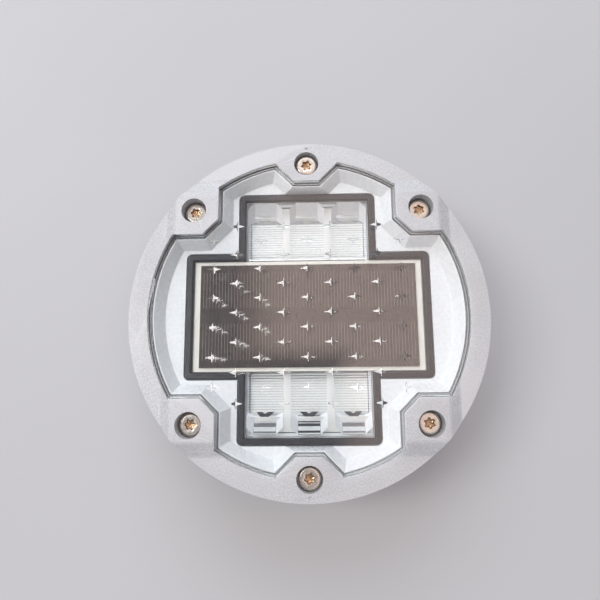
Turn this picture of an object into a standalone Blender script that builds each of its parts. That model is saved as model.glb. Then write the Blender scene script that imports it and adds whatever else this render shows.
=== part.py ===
"""Solar raised pavement marker, 140 mm across, for setting into a cored hole in the road.

Z = 0 is the flat underside of the buried housing and the origin is on the marker's axis.
+Z points up out of the road, and the two rows of lamps look along +Y and -Y.
Touching pieces keep a clearance, so every piece is a closed solid of its own.
"""
import math

import bmesh
import bpy
from mathutils import Matrix, Vector

MM = 0.001
ROOT2 = math.sqrt(2.0)

# ---- driving dimensions (metres) ----
CLEARANCE = 0.3 * MM                 # gap kept between two pieces that touch
CUT_MARGIN = 1.0 * MM                # how far a cutter stands clear of what it cuts

RING_RADIUS = 70.0 * MM              # outside of the cast top ring
RING_TOP = 48.0 * MM                 # top of the ring between its corner pads
RING_THICKNESS = 9.0 * MM
PAD_HEIGHT = 1.7 * MM                # corner pads stand this far above the rest of the ring
PAD_EDGE_X = 57.0 * MM               # where a pad's ramp reaches the low surface, along X
PAD_EDGE_Y = 54.0 * MM               # the same along Y
RAMP_X = 5.5 * MM
RAMP_Y = 6.5 * MM
RING_BOTTOM = RING_TOP - RING_THICKNESS
RIM_DROP = 1.5 * MM                  # the outer rim reaches down past the housing's top edge

# opening of the ring: arcs, a tongue at +Y and -Y, and a notched corner in each quadrant
OPENING_RADIUS = 62.1 * MM
TONGUE_Y = 53.4 * MM                 # flat end of the tongue that carries a screw
TONGUE_HALF = 4.8 * MM               # half the width of that flat end
CORNER_X = 35.4 * MM                 # vertical side of a corner
CORNER_Y = 32.0 * MM                 # horizontal side of a corner
CORNER_SUM = 73.4 * MM               # x + y along the corner's 45 degree side

SCREW_CIRCLE = 61.6 * MM
SCREW_ANGLES = (42.8, 90.0, 137.2, 222.8, 270.0, 317.2)
SCREW_NAMES = ("northeast", "north", "northwest", "southwest", "south", "southeast")
SCREW_HEAD_RADIUS = 4.25 * MM
SCREW_HEAD_TOP = RING_TOP - 2.0 * MM
SCREW_HEAD_HEIGHT = 3.0 * MM
SCREW_SHANK_RADIUS = 2.5 * MM
SCREW_LENGTH = 16.0 * MM
COUNTERBORE_RADIUS = 4.95 * MM

COVER_TOP = RING_TOP + 3.6 * MM      # plateau of the clear cover
COVER_THICKNESS = 4.0 * MM
COVER_CEILING = COVER_TOP - COVER_THICKNESS
COVER_GAP = 0.4 * MM                 # open joint between cover and ring
COVER_SKIRT = 0.8 * MM
COVER_BEVEL = 1.9 * MM               # inset of the plateau's edge from the opening
CEILING_CHAMFER = 0.6 * MM
FLANGE_REACH = 2.2 * MM              # how far the cover's flange runs under the ring
FLANGE_TOP = RING_TOP - 1.5 * MM
FLANGE_BOTTOM = RING_TOP - 3.1 * MM
GASKET_WIDTH = 1.7 * MM

PIP_PITCH_X = 9.0 * MM               # half pitch of the staggered anti-slip pips
PIP_PITCH_Y = 5.66 * MM
PIP_HALF_X = 2.9 * MM
PIP_HALF_Y = 1.9 * MM
PIP_WAIST = (0.38 * MM, 0.62 * MM)   # inner corners of a pip's star
PIP_HEIGHT = 0.9 * MM
PIP_TIP = 0.05 * MM                  # height of the tips of the X arms
PIP_SINK = 0.2 * MM                  # the foot's depth in the plateau
PIP_COLUMNS = 4                      # half pitches from the middle to the last pip
PIP_ROWS = 6

HOUSING_TOP = RING_BOTTOM - CLEARANCE
HOUSING_RADIUS = 67.0 * MM
HOUSING_WAIST = 62.5 * MM            # bottom of the anchoring grooves
HOUSING_FLOOR = 4.0 * MM
CAVITY_INSET = 5.0 * MM
CAVITY_TONGUE_INSET = 4.2 * MM

# cross-shaped seal round the chamber that holds the panel and the lamps
SEAL_STEM = (27.55 * MM, 50.0 * MM)  # outer half width and half length of the Y bar
SEAL_ARM = (48.7 * MM, 25.1 * MM)    # outer half length and half height of the X bar
SEAL_WIDTH = 2.65 * MM
SEAL_CORNER = 2.0 * MM
SEAL_BOTTOM = 40.3 * MM
SEAL_TOP = 42.3 * MM
TRAY_FLOOR = 41.8 * MM
TRAY_RIM_TOP = RING_TOP - 1.7 * MM
TRAY_RIM_INSET = 5.2 * MM            # foot of the tray's sloped rim, from the ring's opening
TRAY_TONGUE_INSET = 3.1 * MM         # the same at the flat end of a tongue

PANEL_TOP = 40.6 * MM
PANEL_THICKNESS = 1.3 * MM
CELL_HALF_X = 43.2 * MM
CELL_HALF_Y = 20.6 * MM
CELL_SPLIT = 0.3 * MM                # gap between the two rows of cells
CELL_THICKNESS = 0.4 * MM

CARRIER_BOTTOM = 34.5 * MM
CARRIER_FLOOR = 36.0 * MM
CARRIER_TOP = 39.0 * MM

LENS_PITCH = 16.9 * MM
LENS_HALF_WIDTH = 7.0 * MM
LENS_NOSE_HALF = 4.3 * MM
LENS_START = 23.0 * MM
LENS_END = 45.8 * MM
LENS_CHAMFER_START = LENS_END - (LENS_HALF_WIDTH - LENS_NOSE_HALF)   # of the 45 degree corners
LENS_BOTTOM = 39.3 * MM
LENS_TOP = 41.2 * MM
LENS_CAP = (37.6 * MM, 39.2 * MM)    # foot and top of the slope up to the cap
LENS_CAP_TOP = 44.2 * MM
LENS_LIP = 0.3 * MM                  # upright part of the nose above its 45 degree undercut
LENS_RIBS = 15
RIB_DEPTH = 0.5 * MM
LAMP_Y = 43.6 * MM
LAMP_HALF = 1.5 * MM
LAMP_HEIGHT = 1.2 * MM
LAMP_BOARD_HALF = (23.1 * MM, 11.2 * MM)
LAMP_BOARD_Y = 34.3 * MM
LAMP_WIRE_Y = 27.0 * MM              # where the lamps' leads pass the carrier's floor

BOARD_HALF = (35.0 * MM, 28.0 * MM)  # control board
BOARD_BOTTOM = 28.0 * MM
BOARD_THICKNESS = 1.6 * MM           # of the control board and of the lamp boards
BOARD_POST = (31.0 * MM, 24.6 * MM)

CELL_RADIUS = 9.15 * MM              # storage cells
CELL_LENGTH = 65.0 * MM
CELL_CENTRE = (9.6 * MM, 15.4 * MM)  # y and z of a cell's axis
HOLDER_HALF = (37.0 * MM, 27.6 * MM)

WIRE_RADIUS = 0.7 * MM

RING_STEPS = 120
HOUSING_STEPS = 72
SCREW_STEPS = 24

NORTH, SOUTH = 1, -1


# ---- scene, materials and mesh helpers ----
def clear_scene():
    for old in list(bpy.data.objects):
        bpy.data.objects.remove(old, do_unlink=True)


def new_collection(name):
    found = bpy.data.collections.get(name) or bpy.data.collections.new(name)
    if found.name not in bpy.context.scene.collection.children:
        bpy.context.scene.collection.children.link(found)
    return found


def material(name, colour, roughness, metallic=0.0, transmission=0.0):
    made = bpy.data.materials.new(name)
    made.use_nodes = True
    shader = made.node_tree.nodes["Principled BSDF"]
    shader.inputs["Base Color"].default_value = (*colour, 1.0)
    shader.inputs["Roughness"].default_value = roughness
    shader.inputs["Metallic"].default_value = metallic
    shader.inputs["Transmission Weight"].default_value = transmission
    return made


def add_part(name, mesh, finish):
    obj = bpy.data.objects.new(name, mesh)
    PARTS.objects.link(obj)
    mesh.materials.clear()
    mesh.materials.append(finish)
    mesh.shade_smooth()
    mesh.set_sharp_from_angle(angle=math.radians(28.0))
    return obj


def add_cutter(name, mesh):
    obj = bpy.data.objects.new(name, mesh)
    CUTTERS.objects.link(obj)
    obj.hide_render = True
    obj.display_type = "WIRE"
    return obj


def boolean(obj, other, operation="DIFFERENCE"):
    modifier = obj.modifiers.new(other.name, "BOOLEAN")
    modifier.operation = operation
    modifier.solver = "EXACT"
    modifier.object = other


def finished_mesh(obj):
    """The object's mesh with its modifiers worked in."""
    bpy.context.view_layer.update()
    depsgraph = bpy.context.evaluated_depsgraph_get()
    return bpy.data.meshes.new_from_object(obj.evaluated_get(depsgraph))


def mesh_from_bmesh(name, bm):
    bmesh.ops.recalc_face_normals(bm, faces=bm.faces)
    mesh = bpy.data.meshes.new(name)
    bm.to_mesh(mesh)
    bm.free()
    return mesh


def loft(name, sections, closed=False):
    """A solid through sections of equal point count: capped ends, or closed into a tube."""
    bm = bmesh.new()
    loops = [[bm.verts.new(point) for point in section] for section in sections]
    pairs = list(zip(loops, loops[1:]))
    if closed:
        pairs.append((loops[-1], loops[0]))
    else:
        bm.faces.new(loops[0])
        bm.faces.new(loops[-1])
    for lower, upper in pairs:
        for index in range(len(lower)):
            after = (index + 1) % len(lower)
            bm.faces.new((lower[index], lower[after], upper[after], upper[index]))
    return mesh_from_bmesh(name, bm)


def at_height(outline, z):
    return [(x, y, z) for x, y in outline]


def circle(radius, steps, centre=(0.0, 0.0)):
    turn = 2.0 * math.pi / steps
    return [(centre[0] + radius * math.cos(turn * i), centre[1] + radius * math.sin(turn * i))
            for i in range(steps)]


def rectangle(half_x, half_y, centre=(0.0, 0.0)):
    return [(centre[0] + sx * half_x, centre[1] + sy * half_y)
            for sx, sy in ((-1, -1), (1, -1), (1, 1), (-1, 1))]


def block(name, half_x, half_y, bottom, top, centre=(0.0, 0.0)):
    outline = rectangle(half_x, half_y, centre)
    return loft(name, [at_height(outline, bottom), at_height(outline, top)])


def disc(name, radius, steps, bottom, top, centre=(0.0, 0.0)):
    outline = circle(radius, steps, centre)
    return loft(name, [at_height(outline, bottom), at_height(outline, top)])


def turned(name, profile, steps):
    """A profile of (radius, z) pairs, top to bottom, turned about Z with a Screw modifier."""
    mesh = bpy.data.meshes.new(name)
    edges = [(i, i + 1) for i in range(len(profile) - 1)]
    mesh.from_pydata([(radius, 0.0, z) for radius, z in profile], edges, [])
    obj = bpy.data.objects.new(name, mesh)
    CUTTERS.objects.link(obj)
    screw = obj.modifiers.new("turn", "SCREW")
    screw.axis = "Z"
    screw.steps = steps
    screw.render_steps = steps
    screw.use_merge_vertices = True
    screw.merge_threshold = 0.00001
    result = finished_mesh(obj)
    bpy.data.objects.remove(obj, do_unlink=True)
    return result


def smooth_path(points, per_span=3):
    """Points of a Catmull-Rom curve through the given ones."""
    ends = [2 * Vector(points[0]) - Vector(points[1])]
    ends += [Vector(point) for point in points]
    ends += [2 * Vector(points[-1]) - Vector(points[-2])]
    path = []
    for a, b, c, d in zip(ends, ends[1:], ends[2:], ends[3:]):
        for step in range(per_span):
            t = step / per_span
            path.append(0.5 * (2 * b + (c - a) * t + (2 * a - 5 * b + 4 * c - d) * t * t
                               + (3 * b - a - 3 * c + d) * t ** 3))
    path.append(ends[-2])
    return path


def wire(name, points, finish):
    curve = bpy.data.curves.new(name, "CURVE")
    curve.dimensions = "3D"
    curve.bevel_depth = WIRE_RADIUS
    curve.bevel_resolution = 1
    curve.use_fill_caps = True
    path = smooth_path(points)
    spline = curve.splines.new("POLY")
    spline.points.add(len(path) - 1)
    for slot, point in zip(spline.points, path):
        slot.co = (*point, 1.0)
    curve.materials.append(finish)
    obj = bpy.data.objects.new(name, curve)
    PARTS.objects.link(obj)
    return obj


# ---- outlines ----
def arc_between(radius, first, last, count):
    """Points strictly between two points of a circle about the axis."""
    start = math.atan2(first[1], first[0])
    end = math.atan2(last[1], last[0])
    angles = [start + (end - start) * i / count for i in range(1, count)]
    return [(radius * math.cos(a), radius * math.sin(a)) for a in angles]


def opening_outline(inset, tongue_inset=None):
    """The ring's opening moved inwards by inset; a tongue's flat end may move by its own amount."""
    flat = inset if tongue_inset is None else tongue_inset
    radius = OPENING_RADIUS - inset
    tongue_y = TONGUE_Y - flat
    slant = TONGUE_Y - TONGUE_HALF - ROOT2 * inset
    side_x = CORNER_X - inset
    side_y = CORNER_Y - inset
    corner_sum = CORNER_SUM - ROOT2 * inset
    slant_x = (math.sqrt(2.0 * radius ** 2 - slant ** 2) - slant) / 2.0
    slant_end = (slant_x, slant_x + slant)
    side_start = (side_x, math.sqrt(radius ** 2 - side_x ** 2))
    side_end = (math.sqrt(radius ** 2 - side_y ** 2), side_y)
    upper = arc_between(radius, slant_end, side_start, 8)
    lower = arc_between(radius, side_end, (radius, 0.0), 10)
    quarter = [(tongue_y - slant, tongue_y), slant_end, *upper, side_start,
               (side_x, corner_sum - side_x), (corner_sum - side_y, side_y), side_end,
               *lower, (radius, 0.0)]
    back = quarter[-2::-1]
    return (quarter + [(x, -y) for x, y in back]
            + [(-x, -y) for x, y in quarter] + [(-x, y) for x, y in back])


def cross_outline(grow):
    """The seal's outer cross moved outwards by grow, with rounded outer corners."""
    stem_x, stem_y = SEAL_STEM[0] + grow, SEAL_STEM[1] + grow
    arm_x, arm_y = SEAL_ARM[0] + grow, SEAL_ARM[1] + grow
    radius = max(SEAL_CORNER + grow, 0.4 * MM)
    corner = [(math.sin(a) * radius, math.cos(a) * radius)
              for a in (math.radians(22.5 * i) for i in range(5))]
    quarter = [(stem_x - radius + dx, stem_y - radius + dy) for dx, dy in corner]
    quarter.append((stem_x, arm_y))
    quarter += [(arm_x - radius + dx, arm_y - radius + dy) for dx, dy in corner]
    back = quarter[::-1]
    return (quarter + [(x, -y) for x, y in back]
            + [(-x, -y) for x, y in quarter] + [(-x, y) for x, y in back])


def screw_places():
    for name, degrees in zip(SCREW_NAMES, SCREW_ANGLES):
        angle = math.radians(degrees)
        yield name, (SCREW_CIRCLE * math.cos(angle), SCREW_CIRCLE * math.sin(angle))


# ---- the top ring ----
def make_top_ring(finish):
    rim_radius = HOUSING_RADIUS + CLEARANCE
    rim_bottom = RING_BOTTOM - RIM_DROP
    levels = ((rim_radius, RING_BOTTOM), (rim_radius, rim_bottom), (RING_RADIUS, rim_bottom),
              (RING_RADIUS, RING_TOP + PAD_HEIGHT))
    mesh = loft("top_ring", [at_height(circle(radius, RING_STEPS), z) for radius, z in levels])
    ring = add_part("top_ring", mesh, finish)
    boolean(ring, opening_cutter())
    for side in (NORTH, SOUTH):
        boolean(ring, valley_cutter("valley_y", side, PAD_EDGE_Y, RAMP_Y, along_x=True))
        boolean(ring, valley_cutter("valley_x", side, PAD_EDGE_X, RAMP_X, along_x=False))
    for name, (x, y) in screw_places():
        boolean(ring, screw_hole_cutter("ring_hole_" + name, x, y))
    for side in (NORTH, SOUTH):
        boolean(ring, index_mark_cutter(side))
    return ring


def opening_cutter():
    """Cuts the opening, with the wider recess under the ring's lip for the cover's flange."""
    recess = -(FLANGE_REACH + CLEARANCE)
    step = FLANGE_TOP + CLEARANCE
    levels = ((recess, RING_BOTTOM - MM), (recess, step), (0.0, step), (0.0, COVER_TOP + MM))
    return add_cutter("cut_opening", loft("cut_opening", [
        at_height(opening_outline(inset), z) for inset, z in levels]))


def valley_cutter(name, side, edge, ramp, along_x):
    """Lowers the ring between two pads and leaves a ramp up to each of them."""
    reach = RING_RADIUS + 5.0 * MM
    high = RING_TOP + PAD_HEIGHT
    slope = PAD_HEIGHT / ramp
    lead = 1.0 * MM
    profile = [(edge, RING_TOP), (reach, RING_TOP), (reach, high + 5.0 * MM),
               (edge - ramp - lead, high + 5.0 * MM), (edge - ramp - lead, high + slope * lead)]
    if along_x:
        ends = [[(end, side * across, z) for across, z in profile] for end in (-reach, reach)]
    else:
        ends = [[(side * across, end, z) for across, z in profile] for end in (-reach, reach)]
    label = f"{name}_{'plus' if side == NORTH else 'minus'}"
    return add_cutter(label, loft(label, ends))


def screw_hole_cutter(name, x, y):
    shoulder = SCREW_HEAD_TOP - SCREW_HEAD_HEIGHT - CLEARANCE
    levels = ((SCREW_SHANK_RADIUS + CLEARANCE, RING_BOTTOM - MM),
              (SCREW_SHANK_RADIUS + CLEARANCE, shoulder),
              (COUNTERBORE_RADIUS, shoulder), (COUNTERBORE_RADIUS, COVER_TOP + MM))
    return add_cutter(name, loft(name, [
        at_height(circle(radius, 32, (x, y)), z) for radius, z in levels]))


def index_mark_cutter(side):
    """A small shallow teardrop cast outside the screw at each end."""
    label = f"cut_mark_{'north' if side == NORTH else 'south'}"
    centre = (0.0, side * 68.0 * MM)
    sizes = ((0.35 * MM, RING_TOP - 0.5 * MM), (0.75 * MM, RING_TOP + 0.4 * MM))
    return add_cutter(label, loft(label, [
        at_height(circle(radius, 12, centre), z) for radius, z in sizes]))


# ---- the clear cover and its seals ----
def make_lens_cover(finish):
    """A clear shell: raised plateau, skirt and clamped flange, with anti-slip pips on top."""
    skirt_inner = COVER_GAP + COVER_SKIRT
    levels = ((COVER_BEVEL, COVER_TOP), (COVER_GAP + 0.35 * MM, COVER_TOP - 1.3 * MM),
              (COVER_GAP, COVER_TOP - 2.4 * MM), (COVER_GAP, FLANGE_TOP),
              (-FLANGE_REACH, FLANGE_TOP), (-FLANGE_REACH, FLANGE_BOTTOM),
              (skirt_inner, FLANGE_BOTTOM), (skirt_inner, COVER_CEILING - CEILING_CHAMFER),
              (skirt_inner + CEILING_CHAMFER, COVER_CEILING))
    shell = loft("lens_cover", [at_height(opening_outline(inset), z) for inset, z in levels])
    cover = add_part("lens_cover", shell, finish)
    boolean(cover, pip_bodies(), "UNION")
    return cover


def pip_places():
    """Centres of the staggered pips over the panel and the lenses."""
    for row in range(-PIP_ROWS, PIP_ROWS + 1):
        for column in range(-PIP_COLUMNS, PIP_COLUMNS + 1):
            if (row + column) % 2 == 1:
                yield column * PIP_PITCH_X, row * PIP_PITCH_Y


def pip_bodies():
    """All pips: four-pointed stars with upright sides under a two-sided roof ridged along Y."""
    bm = bmesh.new()
    for x, y in pip_places():
        add_pip(bm, x, y)
    return add_cutter("pips", mesh_from_bmesh("pips", bm))


def add_pip(bm, x, y):
    """One pip: its foot lies a little below the plateau."""
    foot_z = COVER_TOP - PIP_SINK
    waist_x, waist_y = PIP_WAIST
    tips = ((PIP_HALF_X, 0), (waist_x, waist_y), (0, PIP_HALF_Y), (-waist_x, waist_y),
            (-PIP_HALF_X, 0), (-waist_x, -waist_y), (0, -PIP_HALF_Y), (waist_x, -waist_y))
    foot = [bm.verts.new((x + dx, y + dy, foot_z)) for dx, dy in tips]
    slope = (PIP_HEIGHT - PIP_TIP) / PIP_HALF_X
    roof = [bm.verts.new((x + dx, y + dy, COVER_TOP + PIP_HEIGHT - slope * abs(dx)))
            for dx, dy in tips]
    bm.faces.new(foot[::-1])
    bm.faces.new([roof[index] for index in (6, 7, 0, 1, 2)])
    bm.faces.new([roof[index] for index in (2, 3, 4, 5, 6)])
    for index in range(len(tips)):
        after = (index + 1) % len(tips)
        bm.faces.new((foot[index], foot[after], roof[after], roof[index]))


def make_cover_gasket(finish):
    """Tall gasket round the tray, squeezed between the cover's flange and the housing."""
    outer = CLEARANCE - FLANGE_REACH
    inner = outer + GASKET_WIDTH
    bottom, top = HOUSING_TOP + CLEARANCE, FLANGE_BOTTOM - CLEARANCE
    levels = ((inner, bottom), (inner, top), (outer, top), (outer, bottom))
    mesh = loft("cover_gasket", [at_height(opening_outline(inset), z) for inset, z in levels],
                closed=True)
    return add_part("cover_gasket", mesh, finish)


def make_chamber_seal(finish):
    levels = ((0.0, SEAL_BOTTOM), (0.0, SEAL_TOP - 0.4 * MM), (-0.4 * MM, SEAL_TOP),
              (-SEAL_WIDTH + 0.4 * MM, SEAL_TOP), (-SEAL_WIDTH, SEAL_TOP - 0.4 * MM),
              (-SEAL_WIDTH, SEAL_BOTTOM))
    mesh = loft("chamber_seal", [at_height(cross_outline(grow), z) for grow, z in levels],
                closed=True)
    return add_part("chamber_seal", mesh, finish)


def make_reflector_tray(finish):
    """White dish under the cover: ledge under the skirt, sloped rim, flat floor, cross opening."""
    ledge = CLEARANCE - FLANGE_REACH + GASKET_WIDTH + CLEARANCE
    edge = COVER_GAP + COVER_SKIRT + CLEARANCE
    ledge_top = FLANGE_BOTTOM - CLEARANCE
    levels = ((ledge, ledge, HOUSING_TOP + CLEARANCE), (ledge, ledge, ledge_top),
              (edge, edge, ledge_top), (edge, edge, TRAY_RIM_TOP),
              (edge + 0.5 * MM, edge + 0.4 * MM, TRAY_RIM_TOP),
              (TRAY_RIM_INSET, TRAY_TONGUE_INSET, TRAY_FLOOR))
    tray = add_part("reflector_tray", loft("reflector_tray", [
        at_height(opening_outline(inset, flat), z) for inset, flat, z in levels]), finish)
    boolean(tray, tray_opening_cutter())
    return tray


def tray_opening_cutter():
    """The seal's groove and, inside it, the way through for the carrier."""
    levels = ((-SEAL_WIDTH, HOUSING_TOP - MM), (-SEAL_WIDTH, SEAL_BOTTOM - CLEARANCE),
              (CLEARANCE, SEAL_BOTTOM - CLEARANCE), (CLEARANCE, TRAY_FLOOR + MM))
    return add_cutter("cut_chamber", loft("cut_chamber", [
        at_height(cross_outline(grow), z) for grow, z in levels]))


# ---- the buried housing ----
def make_base_housing(finish):
    radius, waist = HOUSING_RADIUS, HOUSING_WAIST
    lip = 1.0 * MM
    profile = [(0.0, HOUSING_TOP), (radius, HOUSING_TOP)]
    for top, bottom in ((24.0 * MM, 18.0 * MM), (12.0 * MM, 6.0 * MM)):
        profile += [(radius, top), (waist, top - lip), (waist, bottom + lip), (radius, bottom)]
    profile += [(radius, 2.0 * MM), (radius - 2.0 * MM, 0.0), (0.0, 0.0)]
    housing = add_part("base_housing", turned("base_housing", profile, HOUSING_STEPS), finish)
    cavity = opening_outline(CAVITY_INSET, CAVITY_TONGUE_INSET)
    boolean(housing, add_cutter("cut_cavity", loft("cut_cavity", [
        at_height(cavity, z) for z in (HOUSING_FLOOR, HOUSING_TOP + MM)])))
    for name, (x, y) in screw_places():
        label = "housing_hole_" + name
        bottom = SCREW_HEAD_TOP - SCREW_HEAD_HEIGHT - SCREW_LENGTH - MM
        mesh = disc(label, SCREW_SHANK_RADIUS + CLEARANCE, SCREW_STEPS, bottom,
                    HOUSING_TOP + MM, (x, y))
        boolean(housing, add_cutter(label, mesh))
    for index in range(4):
        boolean(housing, key_slot_cutter(index))
    return housing


def key_slot_cutter(index):
    """A vertical slot in the buried wall, which keeps the marker from turning in its hole."""
    angle = math.radians(90.0 * index)
    mesh = block("cut_key", 3.5 * MM, 4.0 * MM, -MM, 24.0 * MM, (HOUSING_RADIUS, 0.0))
    mesh.transform(Matrix.Rotation(angle, 4, "Z"))
    return add_cutter(f"cut_key_{index + 1}", mesh)


# ---- screws ----
def screw_mesh(name, head_radius, head_height, shank_radius, length, steps):
    """A round-headed screw whose head top is at z = 0, with a six-lobed recess."""
    crown = 0.22 * head_height
    profile = [(0.0, 0.0), (0.62 * head_radius, 0.0), (0.86 * head_radius, -0.35 * crown),
               (head_radius, -1.6 * crown), (head_radius, -head_height),
               (shank_radius, -head_height), (shank_radius, -head_height - length + shank_radius),
               (0.55 * shank_radius, -head_height - length), (0.0, -head_height - length)]
    body = add_cutter(name, turned(name, profile, steps))
    boolean(body, lobed_cutter(0.62 * head_radius, 0.62 * head_height, steps))
    return finished_mesh(body)


def lobed_cutter(radius, depth, steps):
    outline = []
    for index in range(steps):
        angle = 2.0 * math.pi * index / steps
        reach = radius * (0.86 + 0.14 * math.cos(6.0 * angle))
        outline.append((reach * math.cos(angle), reach * math.sin(angle)))
    return add_cutter("cut_recess", loft("cut_recess", [
        at_height(outline, z) for z in (-depth, 1.0 * MM)]))


def make_ring_screws(finish):
    mesh = screw_mesh("ring_screw", SCREW_HEAD_RADIUS, SCREW_HEAD_HEIGHT, SCREW_SHANK_RADIUS,
                      SCREW_LENGTH, SCREW_STEPS)
    for name, (x, y) in screw_places():
        screw = add_part("ring_screw_" + name, mesh, finish)
        screw.location = (x, y, SCREW_HEAD_TOP)


# ---- carrier, panel and lamps ----
def make_component_carrier(finish):
    """Cross-shaped tray that hangs under the reflector and holds the panel and the lamps."""
    outer = -SEAL_WIDTH - CLEARANCE
    inner = outer - 1.2 * MM
    flange = -SEAL_WIDTH + 1.4 * MM
    flange_top = HOUSING_TOP - 0.3 * MM
    flange_bottom = flange_top - 1.5 * MM
    levels = ((outer, CARRIER_BOTTOM), (outer, flange_bottom), (flange, flange_bottom),
              (flange, flange_top), (outer, flange_top), (outer, CARRIER_TOP),
              (inner, CARRIER_TOP), (inner, CARRIER_FLOOR))
    mesh = loft("component_carrier", [at_height(cross_outline(grow), z) for grow, z in levels])
    carrier = add_part("component_carrier", mesh, finish)
    slots = (("cut_panel_wires", (9.0 * MM, 3.0 * MM), (0.0, 0.0)),
             ("cut_lamp_wires_north", (2.5 * MM, 2.5 * MM), (0.0, LAMP_WIRE_Y)),
             ("cut_lamp_wires_south", (2.5 * MM, 2.5 * MM), (0.0, -LAMP_WIRE_Y)))
    for label, half, centre in slots:
        mesh = block(label, *half, CARRIER_BOTTOM - MM, CARRIER_FLOOR + MM, centre)
        boolean(carrier, add_cutter(label, mesh))
    return carrier


def make_panel(board_finish, cell_finish):
    half_x = SEAL_ARM[0] - SEAL_WIDTH - CLEARANCE
    half_y = SEAL_ARM[1] - SEAL_WIDTH - CLEARANCE
    board = block("panel_board", half_x, half_y, PANEL_TOP - PANEL_THICKNESS, PANEL_TOP)
    add_part("panel_board", board, board_finish)
    bottom = PANEL_TOP + CLEARANCE
    row_half = (CELL_HALF_Y - CELL_SPLIT / 2.0) / 2.0
    for side, name in ((NORTH, "solar_cells_north"), (SOUTH, "solar_cells_south")):
        centre = (0.0, side * (CELL_SPLIT / 2.0 + row_half))
        row = block(name, CELL_HALF_X, row_half, bottom, bottom + CELL_THICKNESS, centre)
        add_part(name, row, cell_finish)


def lens_profile():
    """Side view of a lens as (y, z): ribbed top, raised cap, and a nose undercut at 45 degrees."""
    foot, cap_start = LENS_CAP
    lip_bottom = LENS_CAP_TOP - LENS_LIP
    pitch = (foot - LENS_START) / LENS_RIBS
    profile = [(LENS_START, LENS_BOTTOM)]
    for rib in range(LENS_RIBS):
        start = LENS_START + rib * pitch
        profile += [(start, LENS_TOP - RIB_DEPTH), (start + 0.7 * pitch, LENS_TOP)]
    profile += [(foot, LENS_TOP - RIB_DEPTH), (cap_start, LENS_CAP_TOP), (LENS_END, LENS_CAP_TOP),
                (LENS_END, lip_bottom), (LENS_END - (lip_bottom - LENS_BOTTOM), LENS_BOTTOM)]
    return profile


def lens_mesh():
    """A lens whose nose is a bay window: one face ahead and one turned 45 degrees to each side."""
    sections = [[(x, y, z) for y, z in lens_profile()]
                for x in (-LENS_HALF_WIDTH, LENS_HALF_WIDTH)]
    body = add_cutter("lens", loft("lens", sections))
    lip_bottom = LENS_CAP_TOP - LENS_LIP
    foot = LENS_BOTTOM - CUT_MARGIN
    levels = ((foot - lip_bottom, foot), (0.0, lip_bottom), (0.0, LENS_CAP_TOP + CUT_MARGIN))
    beyond = LENS_END + (lip_bottom - foot) + CUT_MARGIN
    for side in (-1, 1):
        inner, outer = LENS_NOSE_HALF - CUT_MARGIN, LENS_HALF_WIDTH + CUT_MARGIN
        wedge = [(side * LENS_NOSE_HALF, LENS_END), (side * LENS_HALF_WIDTH, LENS_CHAMFER_START),
                 (side * outer, LENS_CHAMFER_START - CUT_MARGIN), (side * outer, beyond),
                 (side * inner, beyond), (side * inner, LENS_END + CUT_MARGIN)]
        label = f"cut_lens_{'right' if side > 0 else 'left'}"
        boolean(body, add_cutter(label, loft(label, [
            [(x, y + shift, z) for x, y in wedge] for shift, z in levels])))
    return finished_mesh(body)


def make_lamps(lens_finish, lamp_finish, board_finish):
    """Three lamps and lenses on one board at each end; the south end is the north end turned."""
    board_bottom = CARRIER_FLOOR + CLEARANCE
    board_top = board_bottom + BOARD_THICKNESS
    board = block("led_board", *LAMP_BOARD_HALF, board_bottom, board_top, (0.0, LAMP_BOARD_Y))
    lamp_bottom = board_top + CLEARANCE
    lamp = block("led", LAMP_HALF, LAMP_HALF, lamp_bottom, lamp_bottom + LAMP_HEIGHT, (0.0, LAMP_Y))
    lens = lens_mesh()
    for side, end in ((NORTH, "north"), (SOUTH, "south")):
        turn = 0.0 if side == NORTH else math.pi
        piece = add_part("led_board_" + end, board, board_finish)
        piece.rotation_euler.z = turn
        for index in range(3):
            x = (index - 1) * LENS_PITCH
            for label, mesh, finish in (("led_lens", lens, lens_finish), ("led", lamp, lamp_finish)):
                piece = add_part(f"{label}_{end}_{index + 1}", mesh, finish)
                piece.location.x = x
                piece.rotation_euler.z = turn


# ---- electronics and storage cells ----
def make_battery_holder(finish):
    """Floor plate with a walled trough for the two cells and four posts for the board."""
    bottom = HOUSING_FLOOR + CLEARANCE
    plate_top = bottom + 1.5 * MM
    mesh = block("battery_holder", *HOLDER_HALF, bottom, plate_top)
    holder = add_part("battery_holder", mesh, finish)
    outer, inner = (36.0 * MM, 20.7 * MM), (34.5 * MM, 19.2 * MM)
    wall_top = 20.0 * MM
    levels = ((outer, plate_top - 0.5 * MM), (outer, wall_top), (inner, wall_top),
              (inner, plate_top - 0.5 * MM))
    walls = loft("holder_walls", [at_height(rectangle(*half), z) for half, z in levels],
                 closed=True)
    boolean(holder, add_cutter("holder_walls", walls), "UNION")
    for index, (sx, sy) in enumerate(((1, 1), (-1, 1), (-1, -1), (1, -1))):
        centre = (sx * BOARD_POST[0], sy * BOARD_POST[1])
        label = f"holder_post_{index + 1}"
        post = disc(label, 2.8 * MM, 20, plate_top - 0.5 * MM, BOARD_BOTTOM - CLEARANCE, centre)
        boolean(holder, add_cutter(label, post), "UNION")
        label = f"cut_post_{index + 1}"
        hole = disc(label, 1.4 * MM, 16, BOARD_BOTTOM - 8.0 * MM, BOARD_BOTTOM + MM, centre)
        boolean(holder, add_cutter(label, hole))
    return holder


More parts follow.
